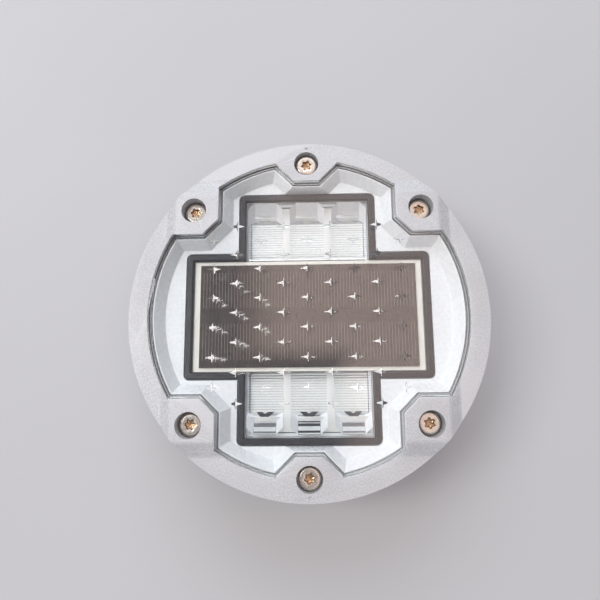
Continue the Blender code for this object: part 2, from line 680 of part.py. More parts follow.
def make_battery_cells(finish, metal):
    """Two cylindrical cells along X, with a link across their far ends."""
    shoulder = CELL_RADIUS - 0.8 * MM
    profile = [(0.0, CELL_LENGTH / 2.0), (shoulder, CELL_LENGTH / 2.0),
               (CELL_RADIUS, CELL_LENGTH / 2.0 - 0.8 * MM), (CELL_RADIUS, -CELL_LENGTH / 2.0),
               (0.0, -CELL_LENGTH / 2.0)]
    mesh = turned("battery_cell", profile, 36)
    for side, name in ((NORTH, "battery_cell_north"), (SOUTH, "battery_cell_south")):
        cell = add_part(name, mesh, finish)
        cell.rotation_euler.y = math.radians(90.0)
        cell.location = (0.0, side * CELL_CENTRE[0], CELL_CENTRE[1])
    link_x = -CELL_LENGTH / 2.0 - CLEARANCE - 0.3 * MM
    link = block("cell_link", 0.25 * MM, 13.0 * MM, CELL_CENTRE[1] - 3.0 * MM,
                 CELL_CENTRE[1] + 3.0 * MM, (link_x, 0.0))
    add_part("cell_link", link, metal)


def make_control_board(board_finish, chip_finish, metal, socket_finish):
    top = BOARD_BOTTOM + BOARD_THICKNESS
    mesh = block("control_board", *BOARD_HALF, BOARD_BOTTOM, top)
    board = add_part("control_board", mesh, board_finish)
    screw = screw_mesh("board_screw", 2.3 * MM, 1.6 * MM, 1.05 * MM, 8.0 * MM, 12)
    for index, (sx, sy) in enumerate(((1, 1), (-1, 1), (-1, -1), (1, -1))):
        centre = (sx * BOARD_POST[0], sy * BOARD_POST[1])
        label = f"cut_board_{index + 1}"
        hole = disc(label, 1.4 * MM, 16, BOARD_BOTTOM - MM, top + MM, centre)
        boolean(board, add_cutter(label, hole))
        piece = add_part(f"board_screw_{index + 1}", screw, metal)
        piece.location = (*centre, top + CLEARANCE + 1.6 * MM)
    seat = top + CLEARANCE
    add_part("controller_chip", block("controller_chip", 5.0 * MM, 5.0 * MM, seat,
                                      seat + 1.5 * MM, (-15.0 * MM, -8.0 * MM)), chip_finish)
    coil = [(0.0, seat + 3.6 * MM), (4.4 * MM, seat + 3.6 * MM), (5.2 * MM, seat + 2.8 * MM),
            (5.2 * MM, seat), (0.0, seat)]
    inductor = add_part("charge_inductor", turned("charge_inductor", coil, 28), chip_finish)
    inductor.location = (-15.0 * MM, 11.0 * MM, 0.0)
    can = [(0.0, 5.0 * MM), (1.7 * MM, 5.0 * MM), (2.0 * MM, 4.6 * MM), (2.0 * MM, -5.0 * MM),
           (0.0, -5.0 * MM)]
    capacitor = add_part("storage_capacitor", turned("storage_capacitor", can, 20), metal)
    capacitor.rotation_euler.y = math.radians(90.0)
    capacitor.location = (15.0 * MM, -14.0 * MM, seat + 2.0 * MM)
    add_part("battery_socket", block("battery_socket", 2.6 * MM, 3.6 * MM, seat,
                                     seat + 3.4 * MM, (28.0 * MM, 0.0)), socket_finish)


def make_wires(red, black, white):
    """Leads from cells, panel and lamps to the control board."""
    top = BOARD_BOTTOM + BOARD_THICKNESS + CLEARANCE
    socket_x = 30.6 * MM + CLEARANCE
    for side, name, finish in ((NORTH, "battery_lead_red", red), (SOUTH, "battery_lead_black", black)):
        wire(name, [(33.6 * MM, side * 8.0 * MM, 17.5 * MM), (33.7 * MM, side * 8.0 * MM, 21.0 * MM),
                    (38.0 * MM, side * 6.5 * MM, 25.5 * MM), (38.0 * MM, side * 3.5 * MM, 30.0 * MM),
                    (34.5 * MM, side * 1.6 * MM, 31.8 * MM), (socket_x, side * 1.4 * MM, 31.8 * MM)],
             finish)
    panel_bottom = PANEL_TOP - PANEL_THICKNESS - CLEARANCE
    for side, name, finish in ((NORTH, "solar_lead_red", red), (SOUTH, "solar_lead_black", black)):
        x = side * 5.0 * MM
        wire(name, [(x, 0.0, panel_bottom), (x, 0.0, 35.5 * MM), (x, 1.2 * MM, 32.5 * MM),
                    (x, 1.6 * MM, top)], finish)
    for side, name in ((NORTH, "led_lead_north"), (SOUTH, "led_lead_south")):
        wire(name, [(0.0, side * LAMP_WIRE_Y, CARRIER_FLOOR), (0.0, side * 26.6 * MM, 33.5 * MM),
                    (0.0, side * 24.5 * MM, 31.5 * MM), (0.0, side * 24.0 * MM, top)], white)


def build():
    cast_aluminium = material("cast_aluminium", (0.62, 0.62, 0.64), 0.45, metallic=0.85)
    housing_cast = material("housing_cast", (0.45, 0.45, 0.46), 0.55, metallic=0.85)
    clear_plastic = material("clear_polycarbonate", (0.93, 0.96, 0.97), 0.05, transmission=0.9)
    black_rubber = material("black_silicone", (0.02, 0.02, 0.025), 0.6)
    grey_rubber = material("grey_silicone", (0.22, 0.22, 0.23), 0.65)
    white_plastic = material("white_plastic", (0.85, 0.87, 0.88), 0.35)
    panel_white = material("panel_white", (0.85, 0.82, 0.76), 0.4)
    silicon = material("solar_silicon", (0.03, 0.018, 0.014), 0.2)
    steel = material("screw_steel", (0.62, 0.52, 0.42), 0.3, metallic=1.0)
    lamp_yellow = material("lamp_package", (0.85, 0.82, 0.6), 0.4)
    board_green = material("circuit_board", (0.03, 0.18, 0.08), 0.45)
    chip_black = material("chip_black", (0.03, 0.03, 0.035), 0.5)
    cell_sleeve = material("cell_sleeve", (0.06, 0.22, 0.42), 0.4)
    nickel = material("nickel", (0.7, 0.68, 0.64), 0.3, metallic=1.0)
    wire_red = material("wire_red", (0.5, 0.03, 0.03), 0.45)
    wire_white = material("wire_white", (0.8, 0.8, 0.78), 0.45)

    make_base_housing(housing_cast)
    make_top_ring(cast_aluminium)
    make_lens_cover(clear_plastic)
    make_cover_gasket(grey_rubber)
    make_reflector_tray(white_plastic)
    make_chamber_seal(black_rubber)
    make_component_carrier(white_plastic)
    make_panel(panel_white, silicon)
    make_lamps(clear_plastic, lamp_yellow, panel_white)
    make_ring_screws(steel)
    make_battery_holder(chip_black)
    make_battery_cells(cell_sleeve, nickel)
    make_control_board(board_green, chip_black, nickel, panel_white)
    make_wires(wire_red, black_rubber, wire_white)


clear_scene()
PARTS = new_collection("raised_pavement_marker")
CUTTERS = new_collection("cutters")
build()
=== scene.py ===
"""Looks of the solar raised pavement marker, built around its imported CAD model.

Everything is in metres in the CAD frame: z = 0 is the housing's underside, +Z points out of the
road and the lamps look along +Y and -Y.
"""

import math

import bmesh
import bpy
from mathutils import Matrix, Vector


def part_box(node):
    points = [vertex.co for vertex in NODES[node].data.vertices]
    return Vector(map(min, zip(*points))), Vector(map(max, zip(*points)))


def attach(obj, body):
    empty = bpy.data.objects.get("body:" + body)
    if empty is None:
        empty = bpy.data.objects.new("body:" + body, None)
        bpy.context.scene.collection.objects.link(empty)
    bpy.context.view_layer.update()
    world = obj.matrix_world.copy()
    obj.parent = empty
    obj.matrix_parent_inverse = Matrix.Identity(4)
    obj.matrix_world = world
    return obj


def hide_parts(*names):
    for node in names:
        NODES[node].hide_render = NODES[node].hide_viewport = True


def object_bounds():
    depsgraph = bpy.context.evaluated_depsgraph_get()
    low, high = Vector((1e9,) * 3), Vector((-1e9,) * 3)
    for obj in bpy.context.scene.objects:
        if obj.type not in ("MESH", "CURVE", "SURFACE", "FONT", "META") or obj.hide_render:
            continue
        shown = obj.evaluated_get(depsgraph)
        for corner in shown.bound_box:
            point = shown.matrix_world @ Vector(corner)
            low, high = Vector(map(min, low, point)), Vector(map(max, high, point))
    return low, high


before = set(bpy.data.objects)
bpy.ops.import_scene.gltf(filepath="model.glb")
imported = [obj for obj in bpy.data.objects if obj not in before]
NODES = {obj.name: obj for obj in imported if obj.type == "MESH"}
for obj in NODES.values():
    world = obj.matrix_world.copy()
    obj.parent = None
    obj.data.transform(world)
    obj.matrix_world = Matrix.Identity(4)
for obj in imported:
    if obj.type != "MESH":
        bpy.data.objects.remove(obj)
cad_low, cad_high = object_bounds()

MM = 0.001
ROOT2 = math.sqrt(2.0)

# ---- the ring's opening, as in the CAD ----
OPENING_RADIUS = 62.1 * MM
TONGUE_Y = 53.4 * MM                     # end of the tongue that carries an end screw
TONGUE_HALF = 4.8 * MM
CORNER_X = 35.4 * MM                     # the two walls of a corner notch, and the slant
CORNER_Y = 32.0 * MM                     # that joins them along x + y
CORNER_SUM = 73.4 * MM
ARC_STEPS = (14, 20)                     # points on the arcs beside the tongues and along the sides

# ---- ring and screws ----
CLEARANCE = 0.3 * MM                     # gap that the CAD keeps between two pieces that touch
CUT_MARGIN = 1.0 * MM                    # how far a cutter reaches past what it cuts
RING_STEPS = 240
PAD_HEIGHT = 1.7 * MM                    # corner pads stand this far above the rest of the ring
PAD_EDGE = (57.0 * MM, 54.0 * MM)        # where a pad's ramps reach the low surface, along X and Y
RAMP = (5.5 * MM, 6.5 * MM)
RAMP_STEPS = 14
RAMP_ROUNDING = 0.22                     # share of a ramp that is rounded at each end
HEAD_HEIGHT = 3.0 * MM
SHANK_RADIUS = 2.5 * MM
COUNTERBORE_GAP = 0.7 * MM
HOLE_STEPS = 64
RING_BEVEL = 0.35 * MM
MARK_Y = 68.0 * MM                       # index mark outside each end screw
MARK_LEVELS = ((0.3 * MM, -0.5 * MM), (0.6 * MM, 0.0), (0.9 * MM, 0.5 * MM))    # radius, height
MARK_STEPS = 32
SCREW_STEPS = 72
HEAD_CROWN = 0.8 * MM                    # rounding of a head's upper edge
LOBES = 6
LOBE_SHARE = 0.13                        # how deep the lobes cut into a recess's radius
RECESS_MOUTH = 0.56                      # share of the head's radius
RECESS_LEVELS = ((0.52, -0.05 * MM), (0.48, -0.25 * MM), (0.46, -1.3 * MM), (0.30, -1.5 * MM),
                 (0.05, -1.6 * MM))      # share of the head's radius, and height

# ---- clear cover ----
COVER_GAP = 0.28 * MM                    # open joint between cover and ring
COVER_SKIRT = 0.8 * MM
COVER_THICKNESS = 4.0 * MM
COVER_ROUND = (0.8 * MM, 1.0 * MM)       # the plateau's rolled edge: inwards and downwards
CEILING_ROUND = 0.6 * MM
ROUND_STEPS = 8
FLANGE_REACH = 2.2 * MM
FLANGE_HEIGHT = 1.6 * MM

PIP_PITCH = (9.0 * MM, 5.66 * MM)        # half pitch of the staggered pips
PIP_HALF = (2.9 * MM, 1.9 * MM)
PIP_WAIST = (0.38 * MM, 0.62 * MM)       # inner corners of a pip's star
PIP_HEIGHT = 0.9 * MM
PIP_TIP = 0.05 * MM                      # height of the tips of the arms along X
PIP_SINK = 0.2 * MM
PIP_COLUMNS = 4
PIP_ROWS = 6

# ---- lamp lenses, their painted reflections (white cards, dark bars, dark wedges), and lamps ----
LENS_RISE = 1.9 * MM                     # from a lens's underside to the tops of its ribs
LENS_RIBS = 15
RIB_DEPTH = 0.5 * MM
# A rib from groove to groove, as shares of the ribs' pitch and of their depth.
RIB_SHAPE = ((0.0, 0.0), (0.12, 0.55), (0.35, 1.0), (0.65, 1.0), (0.88, 0.55))
LENS_CAP = (14.6 * MM, 16.2 * MM)        # foot and top of the slope up to the cap, from the start
LENS_NOSE_HALF = 4.3 * MM
LENS_LIP = 0.3 * MM
DARK_WEDGE_HALF = (3.55 * MM, 1.6 * MM)        # painted dark reflection: a wedge on the slope of a south lens's cap
DARK_WEDGE_NOTCH = (1.3 * MM, 0.45)            # half width, and depth as a share of the slope
DARK_WEDGE_LIFT = (0.05 * MM, 0.12 * MM)       # its two faces above the slope
REFLECTION_CARD_DEPTH = 0.08 * MM                   # of the white card behind the 45 degree face of a lens's nose, a painted reflection
BARS_DEPTH = 1.8 * REFLECTION_CARD_DEPTH
REFLECTION_CARD_BACK = 1.5                          # the card's far face, in depths of its near face
REFLECTION_CARD_INSET = 0.1 * MM                    # from the edges of the 45 degree face
OUTER_BARS = ((0.7 * MM, 2.0 * MM), (3.6 * MM, 4.2 * MM))    # heights of the card's dark bars, painted dark reflections
MIDDLE_BARS = ((0.1 * MM, 0.45 * MM), (0.9 * MM, 1.8 * MM), (3.4 * MM, 4.1 * MM))
LAMP_STEPS = 48
LAMP_CHAMFER = 0.15 * MM
LAMP_WINDOW = (0.78, 0.70)               # the phosphor's rim and well, shares of half a side
LAMP_SINK = 0.3 * MM                     # from the lamp's face down to the phosphor's edge
LAMP_DOME = 0.25 * MM

# ---- solar cells ----
FINGER_PITCH = 1.25 * MM                 # contact fingers on the solar cells
FINGER_WIDTH = 0.085 * MM
FINGER_HEIGHT = 0.02 * MM
FINGER_MARGIN = 3.0 * MM                 # plain strip at a row's long edges
SEAM_INSET = 0.1 * MM                    # from each end of the cells
SEAM_OVERLAP = 0.15 * MM                 # onto each row of cells

# ---- rounding of the carried-over CAD nodes ----
WELD_DISTANCE = 0.002 * MM
FLAT_ANGLE = 0.5                         # degrees; faces that differ by less become one
EDGE_ANGLE = 32.0                        # degrees; edges sharper than this are rounded

# ---- stage ----
CAMERA_PLACE = (1.6 * MM, -25.3 * MM, 232.1 * MM)
CAMERA_TARGET = (-3.0 * MM, 5.2 * MM, 48.0 * MM)
CAMERA_ROLL = -0.49                      # degrees
FLOOR_SIZE = 6.0
FLOOR_LEVEL = -0.2 * MM
SURROUND = (0.29, 0.30, 0.33, 1.0)
GLOW = (1.20, 0.98, 0.92, 1.0)           # ceiling glow; its edges are slopes from the vertical
GLOW_WEST = (-0.18, -0.05)
GLOW_SOUTH = (0.03, 0.08)
GLOW_CORNER = (0.03, 0.10)               # east of this the glow reaches past its south edge
GLOW_HEIGHT = (0.80, 0.88)               # its outer edge, as the height of a unit direction


# ---- node materials ----
class Finish:
    """A Principled material whose detail follows object coordinates at its real size."""

    def __init__(self, name, colour, roughness, **constants):
        self.material = bpy.data.materials.new(name)
        self.material.use_nodes = True
        self.tree = self.material.node_tree
        self.shader = self.tree.nodes["Principled BSDF"]
        self.place = self.node("ShaderNodeTexCoord").outputs["Object"]
        self.normal = None
        self.set("Base Color", (*colour, 1.0))
        self.set("Roughness", roughness)
        for socket, value in constants.items():
            self.set(socket.replace("_", " "), value)

    def node(self, kind, **settings):
        made = self.tree.nodes.new(kind)
        for key, value in settings.items():
            setattr(made, key, value)
        return made

    def set(self, socket, value):
        self.shader.inputs[socket].default_value = value

    def link(self, output, socket):
        self.tree.links.new(output, socket)

    def noise(self, size, detail=2.0, stretch=(1.0, 1.0, 1.0), roughness=0.5):
        """Noise with features of about this size in metres, drawn out along an axis by stretch."""
        coordinates = self.place
        if stretch != (1.0, 1.0, 1.0):
            mapping = self.node("ShaderNodeMapping")
            mapping.inputs["Scale"].default_value = [1.0 / value for value in stretch]
            self.link(self.place, mapping.inputs["Vector"])
            coordinates = mapping.outputs["Vector"]
        made = self.node("ShaderNodeTexNoise")
        made.inputs["Scale"].default_value = 1.0 / size
        made.inputs["Detail"].default_value = detail
        made.inputs["Roughness"].default_value = roughness
        self.link(coordinates, made.inputs["Vector"])
        return made.outputs["Fac"]

    def remap(self, value, low, high, to_low=0.0, to_high=1.0):
        made = self.node("ShaderNodeMapRange")
        made.interpolation_type = "SMOOTHSTEP"
        for socket, number in (("From Min", low), ("From Max", high),
                               ("To Min", to_low), ("To Max", to_high)):
            made.inputs[socket].default_value = number
        self.link(value, made.inputs["Value"])
        return made.outputs["Result"]

    def axis(self, index):
        made = self.node("ShaderNodeSeparateXYZ")
        self.link(self.place, made.inputs["Vector"])
        return made.outputs[index]

    def math(self, operation, first, second=0.0):
        made = self.node("ShaderNodeMath", operation=operation)
        for socket, value in zip(made.inputs, (first, second)):
            if isinstance(value, float):
                socket.default_value = value
            else:
                self.link(value, socket)
        return made.outputs[0]

    def tint(self, factor, colour):
        """Blends this colour in over the present one where factor is 1."""
        made = self.node("ShaderNodeMix", data_type="RGBA")
        base = self.shader.inputs["Base Color"]
        if base.is_linked:
            self.link(base.links[0].from_socket, made.inputs["A"])
        else:
            made.inputs["A"].default_value = base.default_value
        made.inputs["B"].default_value = (*colour, 1.0)
        self.link(factor, made.inputs["Factor"])
        self.link(made.outputs["Result"], base)
        return self

    def rough(self, factor, low, high):
        self.link(self.remap(factor, 0.3, 0.7, low, high), self.shader.inputs["Roughness"])
        return self

    def bump(self, height, depth):
        """Raises the surface by height times depth, a length in metres."""
        made = self.node("ShaderNodeBump")
        made.inputs["Distance"].default_value = depth
        self.link(height, made.inputs["Height"])
        if self.normal is not None:
            self.link(self.normal, made.inputs["Normal"])
        self.normal = made.outputs["Normal"]
        self.link(self.normal, self.shader.inputs["Normal"])
        return self


def cast_ring():
    """Shot-blasted silver casting: fine grain, slightly cloudy, lighter along its convex edges."""
    made = Finish("cast_ring", (0.64, 0.645, 0.655), 0.5, Metallic=0.25)
    grain = made.noise(0.6 * MM, 4.0, roughness=0.65)
    made.tint(made.remap(grain, 0.38, 0.62), (0.84, 0.84, 0.85))
    made.tint(made.remap(made.noise(18.0 * MM, 3.0), 0.35, 0.7, 0.0, 0.4), (0.60, 0.595, 0.61))
    edge = made.node("ShaderNodeNewGeometry").outputs["Pointiness"]
    made.tint(made.remap(edge, 0.51, 0.56, 0.0, 0.7), (0.82, 0.82, 0.83))
    made.rough(made.noise(1.1 * MM, 3.0), 0.45, 0.58)
    return made.bump(grain, 0.06 * MM)


def cast_housing():
    """As-cast aluminium of the buried part, duller and coarser than the ring."""
    made = Finish("cast_housing", (0.42, 0.42, 0.43), 0.55, Metallic=0.9)
    grain = made.noise(0.9 * MM, 4.0)
    made.tint(made.remap(grain, 0.4, 0.7), (0.53, 0.53, 0.54))
    made.tint(made.remap(made.noise(14.0 * MM, 4.0), 0.45, 0.7, 0.0, 0.6), (0.33, 0.33, 0.35))
    made.rough(made.noise(2.5 * MM, 3.0), 0.45, 0.65)
    return made.bump(grain, 0.12 * MM)


def clear_cover():
    """Clear polycarbonate with a trace of handling haze."""
    made = Finish("clear_cover", (0.98, 0.99, 0.99), 0.01, IOR=1.58, Transmission_Weight=1.0)
    return made.rough(made.noise(7.0 * MM, 4.0), 0.0, 0.012)


def clear_pips():
    """The pips' polished faces, which catch the light more than the flat cover."""
    made = Finish("clear_pips", (0.98, 0.99, 0.99), 0.01, IOR=1.9, Transmission_Weight=1.0)
    return made.rough(made.noise(3.0 * MM, 3.0), 0.0, 0.02)


def clear_lens():
    """Clear moulding of the lamp lenses, with painted shade: a grey tint at the foot of every groove.
    """
    made = Finish("clear_lens", (0.97, 0.98, 0.985), 0.03, IOR=1.6, Transmission_Weight=1.0)
    height = made.axis(2)
    # Painted shade: grey at the foot of each rib's groove, short of the cap.
    foot = made.math("MULTIPLY", made.math("LESS_THAN", height, LENS_RISE - 0.55 * RIB_DEPTH),
                     made.math("GREATER_THAN", height, LENS_RISE - 1.2 * RIB_DEPTH))
    foot = made.math("MULTIPLY", foot, made.math("LESS_THAN", made.axis(1), LENS_CAP[0]))
    made.tint(made.math("MULTIPLY", foot, 0.85), (0.42, 0.41, 0.42))
    made.rough(made.noise(3.0 * MM, 3.0), 0.02, 0.08)
    return made.bump(made.noise(3.0 * MM, 1.0), 0.01 * MM)


def frosted_lens():
    """White corner faces of a lens's nose, a painted reflection standing in for the bright glints of
    the clear glass there.
    """
    made = Finish("frosted_lens", (0.86, 0.87, 0.89), 0.4, Coat_Weight=0.5)
    made.tint(made.remap(made.noise(0.5 * MM, 3.0), 0.4, 0.7), (0.95, 0.96, 0.97))
    return made.bump(made.noise(0.3 * MM, 2.0), 0.02 * MM)


def white_plastic(name, colour, low, high):
    """White moulding, faintly mottled, with a fine orange-peel skin."""
    made = Finish(name, colour, low)
    shade = tuple(value * 0.975 for value in colour)
    made.tint(made.remap(made.noise(14.0 * MM, 2.0), 0.3, 0.75), shade)
    made.rough(made.noise(1.5 * MM, 2.0), low, high)
    return made.bump(made.noise(0.7 * MM, 2.0), 0.012 * MM)


def silicone(name, colour, dust):
    """Rubbery seal with a fine matt skin and a trace of dust."""
    made = Finish(name, colour, 0.4, Specular_IOR_Level=0.5)
    made.tint(made.remap(made.noise(0.5 * MM, 3.0), 0.55, 0.8, 0.0, 0.35), dust)
    made.rough(made.noise(2.0 * MM, 3.0), 0.28, 0.5)
    return made.bump(made.noise(0.35 * MM, 2.0), 0.012 * MM)


def panel_board():
    """Cream board edge, with a black field under the cells and brown cut sides."""
    made = Finish("panel_board", (0.80, 0.77, 0.70), 0.35)
    made.tint(made.remap(made.noise(6.0 * MM, 3.0), 0.4, 0.7), (0.84, 0.815, 0.755))
    field = None
    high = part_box("solar_cells_north")[1]
    for index, limit in ((0, high.x), (1, high.y)):
        inside = made.math("LESS_THAN", made.math("ABSOLUTE", made.axis(index)), limit - 0.1 * MM)
        field = inside if field is None else made.math("MULTIPLY", field, inside)
    made.tint(field, (0.03, 0.022, 0.018))
    facing = made.node("ShaderNodeSeparateXYZ")
    made.link(made.node("ShaderNodeNewGeometry").outputs["True Normal"], facing.inputs["Vector"])
    upright = made.math("LESS_THAN", made.math("ABSOLUTE", facing.outputs["Z"]), 0.5)
    made.tint(upright, (0.06, 0.045, 0.035))
    made.rough(made.noise(1.2 * MM, 2.0), 0.3, 0.42)
    return made.bump(made.noise(0.6 * MM, 2.0), 0.01 * MM)


def silicon():
    """Brown-black solar cells under glossy resin, with faint crystal mottling."""
    made = Finish("silicon", (0.042, 0.029, 0.023), 0.12, Coat_Weight=1.0, Coat_Roughness=0.03,
                  Coat_IOR=1.6)
    made.tint(made.remap(made.noise(2.2 * MM, 2.0, (1.0, 3.0, 1.0)), 0.35, 0.7),
              (0.052, 0.036, 0.029))
    return made.rough(made.noise(5.0 * MM, 3.0), 0.12, 0.22)


def finger_silver():
    """Thin printed silver, browned by the resin over it."""
    made = Finish("finger_silver", (0.34, 0.29, 0.25), 0.4, Metallic=0.3)
    made.tint(made.noise(1.5 * MM, 2.0), (0.29, 0.245, 0.21))
    return made.rough(made.noise(0.8 * MM, 2.0), 0.32, 0.48)


def screw_steel():
    """Passivated stainless steel, pale on the crown, with a darker brown tint inside the recess."""
    made = Finish("screw_steel", (0.66, 0.60, 0.53), 0.24, Metallic=1.0)
    made.tint(made.remap(made.noise(1.4 * MM, 3.0), 0.35, 0.7, 0.0, 0.7), (0.74, 0.70, 0.65))
    deep = made.remap(made.axis(2), -0.5 * MM, -0.1 * MM, 1.0, 0.0)
    across = made.math("SQRT", made.math("ADD", made.math("POWER", made.axis(0), 2.0),
                                         made.math("POWER", made.axis(1), 2.0)))
    inside = made.math("MULTIPLY", deep, made.math("LESS_THAN", across, 2.6 * MM))
    made.tint(inside, (0.46, 0.31, 0.19))
    made.rough(made.noise(0.5 * MM, 3.0), 0.2, 0.36)
    return made.bump(made.noise(0.3 * MM, 2.0), 0.006 * MM)


def lamp_package():
    """White ceramic-filled frame of a lamp."""
    made = Finish("lamp_package", (0.84, 0.84, 0.80), 0.35)
    made.tint(made.remap(made.noise(0.8 * MM, 2.0), 0.4, 0.7), (0.76, 0.76, 0.72))
    return made.rough(made.noise(0.5 * MM, 2.0), 0.3, 0.45)


def phosphor():
    """Pale yellow phosphor gel of an unlit white lamp."""
    made = Finish("phosphor", (0.84, 0.79, 0.62), 0.3, Coat_Weight=0.6)
    made.tint(made.remap(made.noise(0.25 * MM, 2.0), 0.4, 0.7), (0.87, 0.83, 0.70))
    return made.bump(made.noise(0.2 * MM, 2.0), 0.01 * MM)


def circuit_board():
    """Green solder mask with faint copper tracks under it."""
    made = Finish("circuit_board", (0.02, 0.13, 0.055), 0.35)
    tracks = made.node("ShaderNodeTexBrick")
    tracks.inputs["Scale"].default_value = 240.0
    tracks.inputs["Mortar Size"].default_value = 0.06
    made.link(made.place, tracks.inputs["Vector"])
    made.tint(tracks.outputs["Fac"], (0.045, 0.22, 0.09))
    made.rough(made.noise(1.5 * MM, 2.0), 0.28, 0.42)
    return made.bump(tracks.outputs["Fac"], 0.02 * MM)


def moulded_black(name):
    """Black moulding compound with a fine grain."""
    made = Finish(name, (0.022, 0.022, 0.025), 0.5)
    made.tint(made.remap(made.noise(1.2 * MM, 3.0), 0.4, 0.7), (0.04, 0.04, 0.043))
    made.rough(made.noise(0.8 * MM, 2.0), 0.42, 0.6)
    return made.bump(made.noise(0.35 * MM, 2.0), 0.02 * MM)


def nickel():
    """Drawn, nickel-plated metal, brushed along X."""
    made = Finish("nickel", (0.68, 0.66, 0.62), 0.28, Metallic=1.0)
    made.tint(made.remap(made.noise(1.5 * MM, 3.0), 0.4, 0.7), (0.58, 0.56, 0.52))
    made.rough(made.noise(0.4 * MM, 3.0, (6.0, 1.0, 1.0)), 0.22, 0.38)
    return made.bump(made.noise(0.3 * MM, 2.0, (8.0, 1.0, 1.0)), 0.006 * MM)


def sleeve(name, colour, size=2.0 * MM):
    """Vinyl or shrink sleeve with slight ripples."""
    made = Finish(name, colour, 0.4)
    shade = tuple(value * 0.75 for value in colour)
    made.tint(made.remap(made.noise(size, 3.0), 0.4, 0.7), shade)
    made.rough(made.noise(size, 2.0), 0.3, 0.5)
    return made.bump(made.noise(size, 2.0), 0.03 * MM)


# ---- mesh helpers ----
def arc_between(radius, first, last, count):
    """Points strictly between two points of a circle about the axis."""
    start = math.atan2(first[1], first[0])
    end = math.atan2(last[1], last[0])
    angles = [start + (end - start) * i / count for i in range(1, count)]
    return [(radius * math.cos(a), radius * math.sin(a)) for a in angles]


def mirrored(quarter, shared):
    """A whole outline from its first quarter; shared says that its last point lies on the X axis."""
    back = quarter[-2::-1] if shared else quarter[::-1]
    return (quarter + [(x, -y) for x, y in back]
            + [(-x, -y) for x, y in quarter] + [(-x, y) for x, y in back])


def opening_outline(inset):
    """The ring's opening moved inwards by inset."""
    radius = OPENING_RADIUS - inset
    tongue_y = TONGUE_Y - inset
    slant = TONGUE_Y - TONGUE_HALF - ROOT2 * inset
    side_x = CORNER_X - inset
    side_y = CORNER_Y - inset
    corner_sum = CORNER_SUM - ROOT2 * inset
    slant_x = (math.sqrt(2.0 * radius ** 2 - slant ** 2) - slant) / 2.0
    slant_end = (slant_x, slant_x + slant)
    side_start = (side_x, math.sqrt(radius ** 2 - side_x ** 2))
    side_end = (math.sqrt(radius ** 2 - side_y ** 2), side_y)
    return mirrored([(tongue_y - slant, tongue_y), slant_end,
                     *arc_between(radius, slant_end, side_start, ARC_STEPS[0]), side_start,
                     (side_x, corner_sum - side_x), (corner_sum - side_y, side_y), side_end,
                     *arc_between(radius, side_end, (radius, 0.0), ARC_STEPS[1]), (radius, 0.0)], True)


def circle(radius, steps):
    """A round outline."""
    turn = 2.0 * math.pi / steps
    return [(radius * math.cos(turn * i), radius * math.sin(turn * i)) for i in range(steps)]


def lobed(radius, steps):
    """A six-lobed outline."""
    points = []
    for index in range(steps):
        angle = 2.0 * math.pi * index / steps
        reach = radius * (1.0 - LOBE_SHARE + LOBE_SHARE * math.cos(LOBES * angle))
        points.append((reach * math.cos(angle), reach * math.sin(angle)))
    return points


def squared(half, steps):
    """A square outline whose points lie in line with those of a circle."""
    points = []
    for x, y in circle(1.0, steps):
        reach = max(abs(x), abs(y))
        points.append((x / reach * half, y / reach * half))
    return points


def at_height(outline, z):
    """A flat section of a loft."""
    return [(x, y, z) for x, y in outline]


def loft(sections, bm=None):
    """Mesh data through sections of equal point count, capped at both ends and added to bm."""
    if bm is None:
        bm = bmesh.new()
    loops = [[bm.verts.new(point) for point in section] for section in sections]
    bm.faces.new(loops[0])
    bm.faces.new(loops[-1])
    for lower, upper in zip(loops, loops[1:]):
        for index in range(len(lower)):
            after = (index + 1) % len(lower)
            bm.faces.new((lower[index], lower[after], upper[after], upper[index]))
    return bm


def finished(bm, name, sharp_angle=30.0):
    """Turns mesh data into an object, shaded smooth except along its sharp edges."""
    bmesh.ops.recalc_face_normals(bm, faces=bm.faces)
    mesh = bpy.data.meshes.new(name)
    bm.to_mesh(mesh)
    bm.free()
    smooth(mesh, sharp_angle)
    obj = bpy.data.objects.new(name, mesh)
    bpy.context.scene.collection.objects.link(obj)
    return obj


def smooth(mesh, sharp_angle):
    """Shades a mesh smooth, except along edges of more than sharp_angle degrees."""
    mesh.shade_smooth()
    mesh.set_sharp_from_angle(angle=math.radians(sharp_angle))


def united(obj, others, sharp_angle, operation="UNION"):
    """Works other closed shapes into obj with Booleans and removes them."""
    for other in others:
        modifier = obj.modifiers.new("join", "BOOLEAN")
        modifier.operation = operation
        modifier.solver = "EXACT"
        modifier.object = other
    bpy.context.view_layer.update()
    depsgraph = bpy.context.evaluated_depsgraph_get()
    mesh = bpy.data.meshes.new_from_object(obj.evaluated_get(depsgraph))
    obj.modifiers.clear()
    obj.data = mesh
    smooth(mesh, sharp_angle)
    for other in others:
        bpy.data.objects.remove(other, do_unlink=True)


def even(obj):
    """Keeps large flat faces flat in the shading of a bevelled or fine piece."""
    modifier = obj.modifiers.new("normals", "WEIGHTED_NORMAL")
    modifier.weight = 100
    modifier.keep_sharp = True


def settle(obj, finish, slot, *replaced):
    """Gives a new piece its material, body and the CAD nodes that it stands for; slot is not used."""
    obj.data.materials.clear()
    finishes = finish if isinstance(finish, tuple) else (finish,)
    for one in finishes:
        obj.data.materials.append(one.material)
    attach(obj, "root")
    if replaced:
        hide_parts(*replaced)


